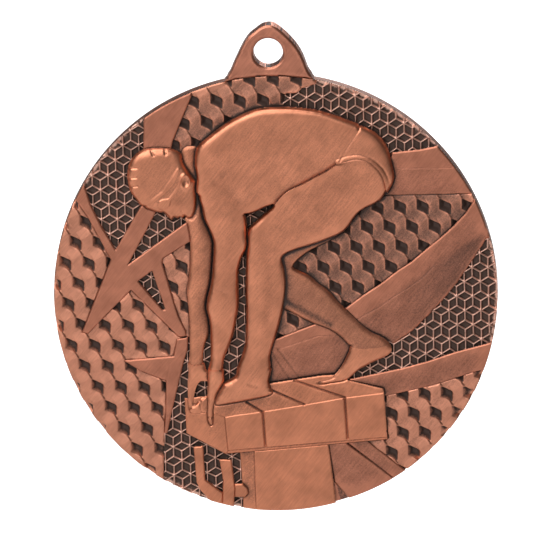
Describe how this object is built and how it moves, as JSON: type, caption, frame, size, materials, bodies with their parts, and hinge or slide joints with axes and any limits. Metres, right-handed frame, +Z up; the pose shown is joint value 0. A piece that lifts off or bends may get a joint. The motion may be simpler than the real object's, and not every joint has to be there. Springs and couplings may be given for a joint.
{
  "type": "sports finisher medal",
  "caption": "Round copper-plated finisher medal with a pierced lug on top and a low relief of a swimmer crouched on a starting block.",
  "frame": {"origin": "centre of the disc, on the seat of the recess in its back", "axes": "+Z up through the lug, +Y out of the back face, -Y out of the relief, +X to the right as the front is seen"},
  "size_m": [0.05, 0.0033, 0.0559],
  "materials": {
    "copper_plated_blank": "copper plated zinc casting, fine brushed, darker on the back",
    "antique_copper_lattice": "copper plated with a dark oxide floor and rubbed ribs",
    "antique_copper_cubes": "copper plated with dark oxide in the pockets and rubbed tops",
    "brushed_copper_bands": "copper plated, diagonally brushed",
    "brushed_copper_block": "copper plated, brushed, dark line in the grooves",
    "polished_copper_swimmer": "copper plated, relief rubbed bright on its high places"
  },
  "bodies": {
    "root": {"medal_blank": "copper_plated_blank", "band_behind_head": "brushed_copper_bands", "star_bands": "brushed_copper_bands", "spike_bands": "brushed_copper_bands", "band_upper_right": "brushed_copper_bands", "band_sweep_right": "brushed_copper_bands", "band_middle": "brushed_copper_bands", "band_lower_right": "brushed_copper_bands", "band_by_pedestal": "brushed_copper_bands", "band_bottom_right": "brushed_copper_bands", "cubes_top": "antique_copper_cubes", "cubes_left": "antique_copper_cubes", "cubes_by_arm": "antique_copper_cubes", "cubes_right": "antique_copper_cubes", "cubes_knee": "antique_copper_cubes", "cubes_lower_right": "antique_copper_cubes", "lattice_upper_left": "antique_copper_lattice", "lattice_neck": "antique_copper_lattice", "lattice_star_window": "antique_copper_lattice", "lattice_top_right": "antique_copper_lattice", "lattice_right": "antique_copper_lattice", "lattice_lower_left": "antique_copper_lattice", "lattice_grips": "antique_copper_lattice", "lattice_between_arms": "antique_copper_lattice", "lattice_by_shin": "antique_copper_lattice", "lattice_belly": "antique_copper_lattice", "swim_cap": "polished_copper_swimmer", "swimmer_face": "polished_copper_swimmer", "goggles": "polished_copper_swimmer", "far_shoulder": "polished_copper_swimmer", "torso": "polished_copper_swimmer", "trunks": "polished_copper_swimmer", "near_arm": "polished_copper_swimmer", "near_hand": "polished_copper_swimmer", "far_arm": "polished_copper_swimmer", "far_hand": "polished_copper_swimmer", "near_leg": "polished_copper_swimmer", "near_foot": "polished_copper_swimmer", "far_leg": "polished_copper_swimmer", "far_foot": "polished_copper_swimmer", "block_top": "brushed_copper_block", "block_front": "brushed_copper_block", "block_end": "brushed_copper_block", "block_lip": "brushed_copper_block", "pedestal_front": "brushed_copper_block", "pedestal_side": "brushed_copper_block", "grip_outer": "brushed_copper_block", "grip_inner": "brushed_copper_block", "grip_stub": "brushed_copper_block"}
  },
  "joints": []
}
